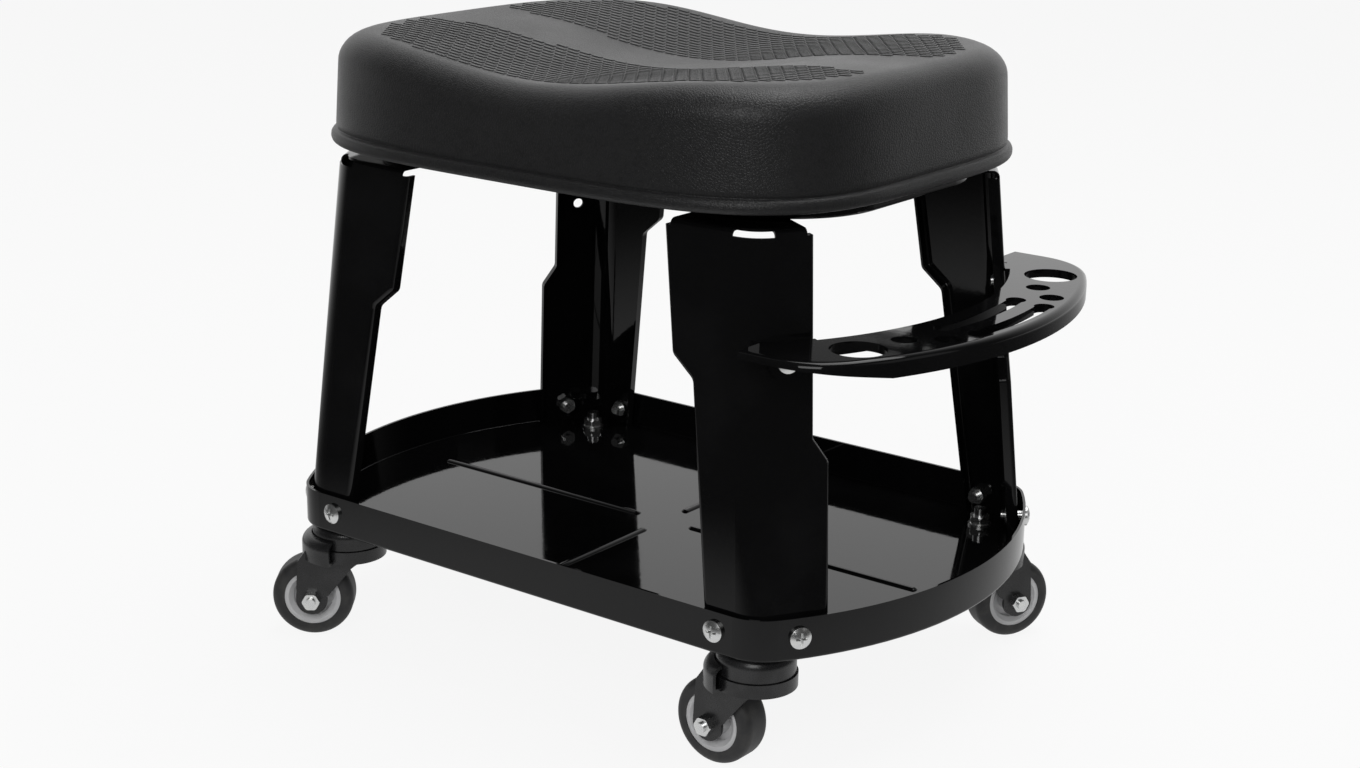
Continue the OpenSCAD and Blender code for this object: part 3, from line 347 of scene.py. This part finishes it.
def seat_skin():
    paint, material = new_material("cover")
    cells = paint.node("TexVoronoi", {"feature": "DISTANCE_TO_EDGE"}, Vector=paint.place(),
                       Scale=CELLS_PER_METRE, Randomness=1.0)
    # 0 at the cells' edges: it sinks the creases in the bump and paints shade into them.
    creases_and_painted_shade = clamp_step(cells, 0.0, 0.22)
    pores = paint.noise(PORE_SIZE, 2)
    touched = clamp_step(paint.noise(TOUCHED_SIZE, 4), 0.35, 0.7)
    paint.surface(
        # Painted shade: the colour is darker towards the cells' edges. The touched blots are a
        # lighter tone.
        Base_Color=paint.blend(creases_and_painted_shade * 0.6 + touched * 0.4, SKIN_DARK_AND_CREASE_SHADE, SKIN_LIGHT),
        Specular_IOR_Level=0.45,
        Roughness=0.38 - touched * 0.06 + pores * 0.1,
        Normal=paint.bump(creases_and_painted_shade * 0.7 + pores * 0.3, SKIN_DEPTH),
    )
    return material


COVER = seat_skin()
print("made", COVER.name)

# %% [markdown]
# ## Dress the CAD nodes
# Each CAD node keeps its mesh and its place. Only the material of its slots changes, chosen by how
# its name starts.

# %% Dress the nodes
FINISHES = {
    "seat_pan": POWDER_COAT, "leg": POWDER_COAT, "tray": POWDER_COAT, "tool_rack": POWDER_COAT,
    "seat_board": BOARD, "race": CASTER_COAT, "fork": CASTER_COAT,
    "rim_": ZINC, "rack_": ZINC, "seat_screws": ZINC, "caster_": ZINC, "axle_": ZINC,
    "stem": BRIGHT_STEEL, "balls": BRIGHT_STEEL, "bush": BRIGHT_STEEL,
    "hub": HUB_PLASTIC, "tyre": TREAD, "seat_cushion": COVER,
}


def dress(name, node):
    for start, material in FINISHES.items():
        if name.startswith(start):
            for slot in node.material_slots:
                slot.material = material
            return start
    raise ValueError(f"no finish for {name}")


dressed = [dress(name, node) for name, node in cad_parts.items()]
print(len(dressed), "nodes dressed")

# %% [markdown]
# ## The cushion's outline
# Seen from above, the real cushion is a rectangle with very full round corners. A superellipse has
# just that form. Its rings are drawn in or shrunk, and their height follows the saddle: two raised
# ends and a dip between them.

# %% Outline of the cushion
pad_low, pad_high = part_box("seat_cushion")
PAD_MIDDLE = (pad_low + pad_high) / 2
HALF_LENGTH, HALF_WIDTH = (pad_high.x - pad_low.x) / 2, (pad_high.y - pad_low.y) / 2
PAD_BOTTOM, PAD_TOP = pad_low.z, pad_high.z
FULLNESS = 3.8
DIP, DIP_HALF, HOLLOW = 11.5 * MM, 132 * MM, 4 * MM
BEAD_OUT, BEAD_HEIGHT, DRAFT, EDGE = 2.5 * MM, 8 * MM, 2 * MM, 18 * MM
WALL_IN = BEAD_OUT + DRAFT
PAD_SIDES = 192


def outline_radius(turn, inset):
    """Distance of the outline from its middle in the direction turn, drawn in by inset."""
    x = abs(math.cos(turn)) / (HALF_LENGTH - inset)
    y = abs(math.sin(turn)) / (HALF_WIDTH - inset)
    return (x ** FULLNESS + y ** FULLNESS) ** (-1 / FULLNESS)


def saddle(x):
    """How far the top lies lower at the distance x from the middle."""
    return -DIP * (1 + math.cos(math.pi * min(1, abs(x) / DIP_HALF))) / 2


print("cushion", round(2 * HALF_LENGTH, 4), "by", round(2 * HALF_WIDTH, 4), "m")

# %% [markdown]
# ## Model the cushion
# One circle of edges is the start. It is extruded ring after ring: under the cushion, round the
# bead at the bottom, over a small groove, up the leaning wall, round the top edge and in to the
# middle, where the last ring is merged to one point. Each new ring is moved onto the outline by
# code, because no hand operator knows this curve.

# %% Rings of the cushion
FOOT_IN = 2 * MM
FOOT_SHARES = (0.3, 0.6, 0.85, 1)
GROOVE = 0.7 * MM
GROOVE_LOW, GROOVE_HIGH = 0.3 * MM, 0.9 * MM
WALL_START_IN, WALL_START_UP = 0.2 * MM, 1.8 * MM
BEAD_STEP, EDGE_STEP = 18, 9
WALL_STEPS, TOP_STEPS = 9, 20


def cushion_rings():
    """Each ring's inset, its share of the outline, its height and how far the saddle counts."""
    top_edge = PAD_TOP - EDGE
    wall_foot = PAD_BOTTOM + BEAD_HEIGHT
    rings = [(BEAD_OUT + FOOT_IN, share, PAD_BOTTOM, 0) for share in FOOT_SHARES]
    for angle in range(-90, 91, BEAD_STEP):
        turn = math.radians(angle)
        rings.append((BEAD_OUT * (1 - math.cos(turn)), 1,
                      PAD_BOTTOM + BEAD_HEIGHT / 2 * (1 + math.sin(turn)), 0))
    rings.append((BEAD_OUT + GROOVE, 1, wall_foot + GROOVE_LOW, 0))
    rings.append((BEAD_OUT + GROOVE, 1, wall_foot + GROOVE_HIGH, 0))
    rings.append((BEAD_OUT + WALL_START_IN, 1, wall_foot + WALL_START_UP, 0))
    for step in range(1, WALL_STEPS):
        share = step / WALL_STEPS
        rings.append((BEAD_OUT + DRAFT * share, 1, wall_foot + (top_edge - wall_foot) * share,
                      share))
    for angle in range(0, 91, EDGE_STEP):
        turn = math.radians(angle)
        rings.append((WALL_IN + EDGE * (1 - math.cos(turn)), 1,
                      top_edge + EDGE * math.sin(turn), 1))
    for step in range(1, TOP_STEPS):
        share = 1 - step / TOP_STEPS
        rings.append((WALL_IN + EDGE, share, PAD_TOP - HOLLOW * (1 - share * share), 1))
    return rings


def move_ring(mesh, ring):
    """Moves the selected ring of vertices onto its place."""
    inset, share, height, follow = ring
    for vertex in mesh.verts:
        if vertex.select:
            turn = math.atan2(vertex.co.y - PAD_MIDDLE.y, vertex.co.x - PAD_MIDDLE.x)
            reach = share * outline_radius(turn, inset)
            x, y = reach * math.cos(turn), reach * math.sin(turn)
            vertex.co = (PAD_MIDDLE.x + x, PAD_MIDDLE.y + y, height + follow * saddle(x))


def model_cushion():
    bpy.ops.object.select_all(action="DESELECT")
    bpy.ops.mesh.primitive_circle_add(vertices=PAD_SIDES, radius=HALF_WIDTH / 4,
                                      location=(PAD_MIDDLE.x, PAD_MIDDLE.y, PAD_BOTTOM))
    cushion = bpy.context.object
    cushion.name = cushion.data.name = "seat_cover"
    bpy.ops.object.transform_apply(location=True, rotation=True, scale=True)
    bpy.ops.object.mode_set(mode="EDIT")
    bpy.ops.mesh.select_all(action="SELECT")
    mesh = bmesh.from_edit_mesh(cushion.data)
    rings = cushion_rings()
    move_ring(mesh, rings[0])
    bpy.ops.mesh.edge_face_add()
    bpy.ops.mesh.poke()
    select_open_edges()
    for ring in rings[1:]:
        bpy.ops.mesh.extrude_edges_move()
        move_ring(bmesh.from_edit_mesh(cushion.data), ring)
    bpy.ops.mesh.extrude_edges_move()
    bpy.ops.mesh.merge(type="CENTER")
    bpy.ops.mesh.select_all(action="SELECT")
    bpy.ops.mesh.normals_make_consistent(inside=False)
    bpy.ops.object.mode_set(mode="OBJECT")
    bpy.ops.object.shade_smooth()
    return cushion


def select_open_edges():
    """Selects the open edges again once the bottom is filled."""
    bpy.ops.mesh.select_all(action="DESELECT")
    bpy.ops.mesh.select_non_manifold(extend=False, use_wire=False, use_boundary=True,
                                     use_multi_face=False, use_non_contiguous=False,
                                     use_verts=False)


COVER_PIECE = model_cushion()
COVER_PIECE.data.materials.append(COVER)
print("cover has", len(COVER_PIECE.data.polygons), "faces")

# %% [markdown]
# ## The raised dashes
# Rows of small raised dashes keep the sitter from slipping. They are moulded on, so each is a real
# low form: a box whose upper edges are bevelled and whose foot sinks into the skin. It is modelled
# once, and its copies are laid on the skin's surface in a staggered pattern. A smooth band across
# the middle, narrow at its centre and wider towards the sides, is left bare.

# %% Model one dash
DASH_LENGTH, DASH_WIDTH, DASH_HEIGHT = 7.2 * MM, 3.0 * MM, 1.0 * MM
DASH_SINK = 0.5 * MM
DASH_BEVEL = 0.45 * MM


def model_dash():
    bpy.ops.object.select_all(action="DESELECT")
    bpy.ops.mesh.primitive_cube_add(size=1, location=(0, 0, DASH_HEIGHT / 2 - DASH_SINK),
                                    scale=(DASH_LENGTH, DASH_WIDTH, DASH_HEIGHT))
    dash = bpy.context.object
    dash.name = dash.data.name = "dash"
    bpy.ops.object.transform_apply(location=True, rotation=True, scale=True)
    bpy.ops.object.mode_set(mode="EDIT")
    bpy.ops.mesh.select_all(action="DESELECT")
    mesh = bmesh.from_edit_mesh(dash.data)
    mesh.faces.remove(min(mesh.faces, key=lambda face: face.normal.z))
    for edge in mesh.edges:
        edge.select = max(vertex.co.z for vertex in edge.verts) > 0
    bmesh.update_edit_mesh(dash.data)
    bpy.ops.mesh.bevel(offset=DASH_BEVEL, segments=2)
    bpy.ops.object.mode_set(mode="OBJECT")
    return dash


DASH = model_dash()
print("one dash has", len(DASH.data.polygons), "faces")

# %% [markdown]
# ## Lay the dashes
# The copies stand in rows, each row half a step aside from the one before it. Each copy is set on
# the point of the skin that lies under its place, and turned square to the skin there.

# %% Lay the dashes on the skin
DASH_PITCH, ROW_PITCH = 9.0 * MM, 6.0 * MM
DASH_EDGE_IN = 25 * MM
BAND_MIDDLE, BAND_END, BAND_REACH = 22 * MM, 32 * MM, 150 * MM
RAY_START = 0.1
SMOOTH_ANGLE = math.radians(50)


def dash_places():
    """Middles of the dashes, measured from the cushion's middle."""
    rows, columns = int(HALF_WIDTH / ROW_PITCH) + 1, int(HALF_LENGTH / DASH_PITCH) + 1
    for row in range(-rows, rows + 1):
        y = row * ROW_PITCH
        for column in range(-columns, columns + 1):
            x = (column + (row % 2) / 2) * DASH_PITCH
            turn = math.atan2(y, x)
            inside = math.hypot(x, y) < outline_radius(turn, DASH_EDGE_IN) - DASH_LENGTH / 4
            band = BAND_MIDDLE + (BAND_END - BAND_MIDDLE) * (x / BAND_REACH) ** 2
            if inside and abs(y) > band:
                yield x, y


def lay_dashes():
    """One mesh that holds a copy of the dash at each place, square to the skin."""
    skin = BVHTree.FromObject(COVER_PIECE, bpy.context.evaluated_depsgraph_get())
    form = np.array([vertex.co for vertex in DASH.data.vertices])
    faces = [tuple(face.vertices) for face in DASH.data.polygons]
    points, polygons = [], []
    for x, y in dash_places():
        above = Vector((PAD_MIDDLE.x + x, PAD_MIDDLE.y + y, PAD_TOP + RAY_START))
        spot, normal, _, _ = skin.ray_cast(above, Vector((0, 0, -1)))
        along = Vector((1, 0, 0)) - normal.x * normal
        along.normalize()
        turned = np.array((along, normal.cross(along), normal))
        start = len(points) * len(form)
        points.append(form @ turned + np.array(spot))
        polygons += [tuple(corner + start for corner in face) for face in faces]
    mesh = bpy.data.meshes.new("seat_dashes")
    mesh.from_pydata(np.concatenate(points).tolist(), [], polygons)
    dashes = bpy.data.objects.new("seat_dashes", mesh)
    bpy.context.scene.collection.objects.link(dashes)
    print(len(points), "dashes,", len(polygons), "faces")
    return dashes


DASHES = lay_dashes()
DASHES.data.materials.append(COVER)
bpy.ops.object.select_all(action="DESELECT")
DASHES.select_set(True)
bpy.context.view_layer.objects.active = DASHES
bpy.ops.object.shade_smooth_by_angle(angle=SMOOTH_ANGLE)
bpy.data.objects.remove(DASH)

# %% [markdown]
# ## Join the cover to the model
# The cover and its dashes ride on the body that holds the seat. The cover stands for the plain
# cushion of the CAD model, which is hidden.

# %% Ride and replace
for piece in (COVER_PIECE, DASHES):
    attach(piece, "frame")
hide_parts("seat_cushion")
print("cover rides on the frame")

# %% [markdown]
# ## Floor and backdrop
# The photograph was taken in a white studio. A wide pale floor runs out behind the seat. To the
# camera its colour is nearly white by itself, and it still takes the seat's soft shadow. In the
# gloss of the coat it is bright near the seat and far behind it, and dark on the viewer's side.

# %% Floor
FLOOR_SIZE = 30
FLOOR_GLOW = 0.9
FLOOR_FADE = (0.0, 1.6)
FRONT_SHINE = 0.06
NEAR_SHINE = 0.75
NEAR_FADE = (0.3, 0.75)
WHITE, PAPER = (1, 1, 1, 1), (0.75, 0.75, 0.75, 1)
AWAY = (-math.sin(AZIMUTH), math.cos(AZIMUTH), 0)


def behind_seat(place, fade):
    """0 round the seat and on the viewer's side, where the studio is dark, and 1 far behind it."""
    away = place.paint.node("VectorMath", {"operation": "DOT_PRODUCT"}, place, AWAY, out="Value")
    return clamp_step(away, *fade)


def ray_kinds(paint):
    """1 for rays from the camera, for rays off gloss and for rays through clear pieces."""
    return [paint.node("LightPath", out=f"Is {kind} Ray")
            for kind in ("Camera", "Glossy", "Transmission")]


def make_floor():
    bpy.ops.object.select_all(action="DESELECT")
    bpy.ops.mesh.primitive_plane_add(size=FLOOR_SIZE, location=(0, 0, 0))
    floor = bpy.context.object
    floor.name = "studio_floor"
    paint, material = new_material("studio_floor")
    seen, shine, clear = ray_kinds(paint)
    shown = paint.node("Math", {"operation": "MAXIMUM", "use_clamp": True}, seen, shine + clear)
    paper = paint.node("BsdfDiffuse", None, Color=PAPER)
    glow = paint.node("Emission", None, Color=WHITE, Strength=1.0)
    dim_glow = paint.node("Emission", None, Color=WHITE, Strength=FRONT_SHINE)
    mixed = paint.node("MixShader", None, shown * FLOOR_GLOW, paper, glow)
    spot = paint.node("TexCoord", out="Object")
    distance = paint.node("VectorMath", {"operation": "LENGTH"}, spot, out="Value")
    near = (1 - clamp_step(distance, *NEAR_FADE)) * NEAR_SHINE
    bright = paint.node("Math", {"operation": "MAXIMUM"}, behind_seat(spot, FLOOR_FADE), near)
    lit = paint.node("MixShader", None, shine * (1 - bright), mixed, dim_glow)
    paint.put(paint.end.inputs["Surface"], lit)
    floor.data.materials.append(material)


make_floor()
print("floor laid")

# %% [markdown]
# ## Sky and lamps
# The sky is white to the camera. In the gloss of the coat it is dark on the viewer's side and
# bright behind the seat, and on everything else it is a low even light. Three soft lamps are
# added to it, and the view transform stays plain.

# %% World and lamps
SKY_LIGHT = 0.3
SKY_FADE = (0.1, 0.9)
LAMP_AIM = Vector((0, 0, 0.25))
LAMPS = (
    ("lamp_front", (1.0, -2.0, 1.5), 1.2, 18),
    ("lamp_top", (0.2, 0.5, 2.4), 1.6, 29),
    ("lamp_side", (2.1, 0.6, 1.4), 1.0, 1),
)


def make_sky():
    world = bpy.data.worlds.new("studio")
    bpy.context.scene.world = world
    paint = Paint(world, "OutputWorld")
    seen, shine, clear = ray_kinds(paint)
    toward_back = behind_seat(paint.node("TexCoord", out="Generated"), SKY_FADE)
    backdrop = FRONT_SHINE + toward_back * (1 - FRONT_SHINE)
    unseen = shine * backdrop + clear + (1 - shine - clear) * SKY_LIGHT
    strength = seen + (1 - seen) * unseen
    paint.put(paint.end.inputs["Surface"], paint.node(
        "Background", None, Color=WHITE, Strength=strength))


def add_lamp(name, place, size, watts):
    """A square soft lamp that faces the middle of the seat."""
    data = bpy.data.lights.new(name, "AREA")
    data.shape = "SQUARE"
    data.size, data.energy = size, watts
    lamp = bpy.data.objects.new(name, data)
    lamp.location = place
    toward = LAMP_AIM - Vector(place)
    lamp.rotation_euler = toward.to_track_quat("-Z", "Y").to_euler()
    bpy.context.scene.collection.objects.link(lamp)


make_sky()
for lamp_settings in LAMPS:
    add_lamp(*lamp_settings)
view = bpy.context.scene.view_settings
view.view_transform = "Standard"
print("lamps lit")
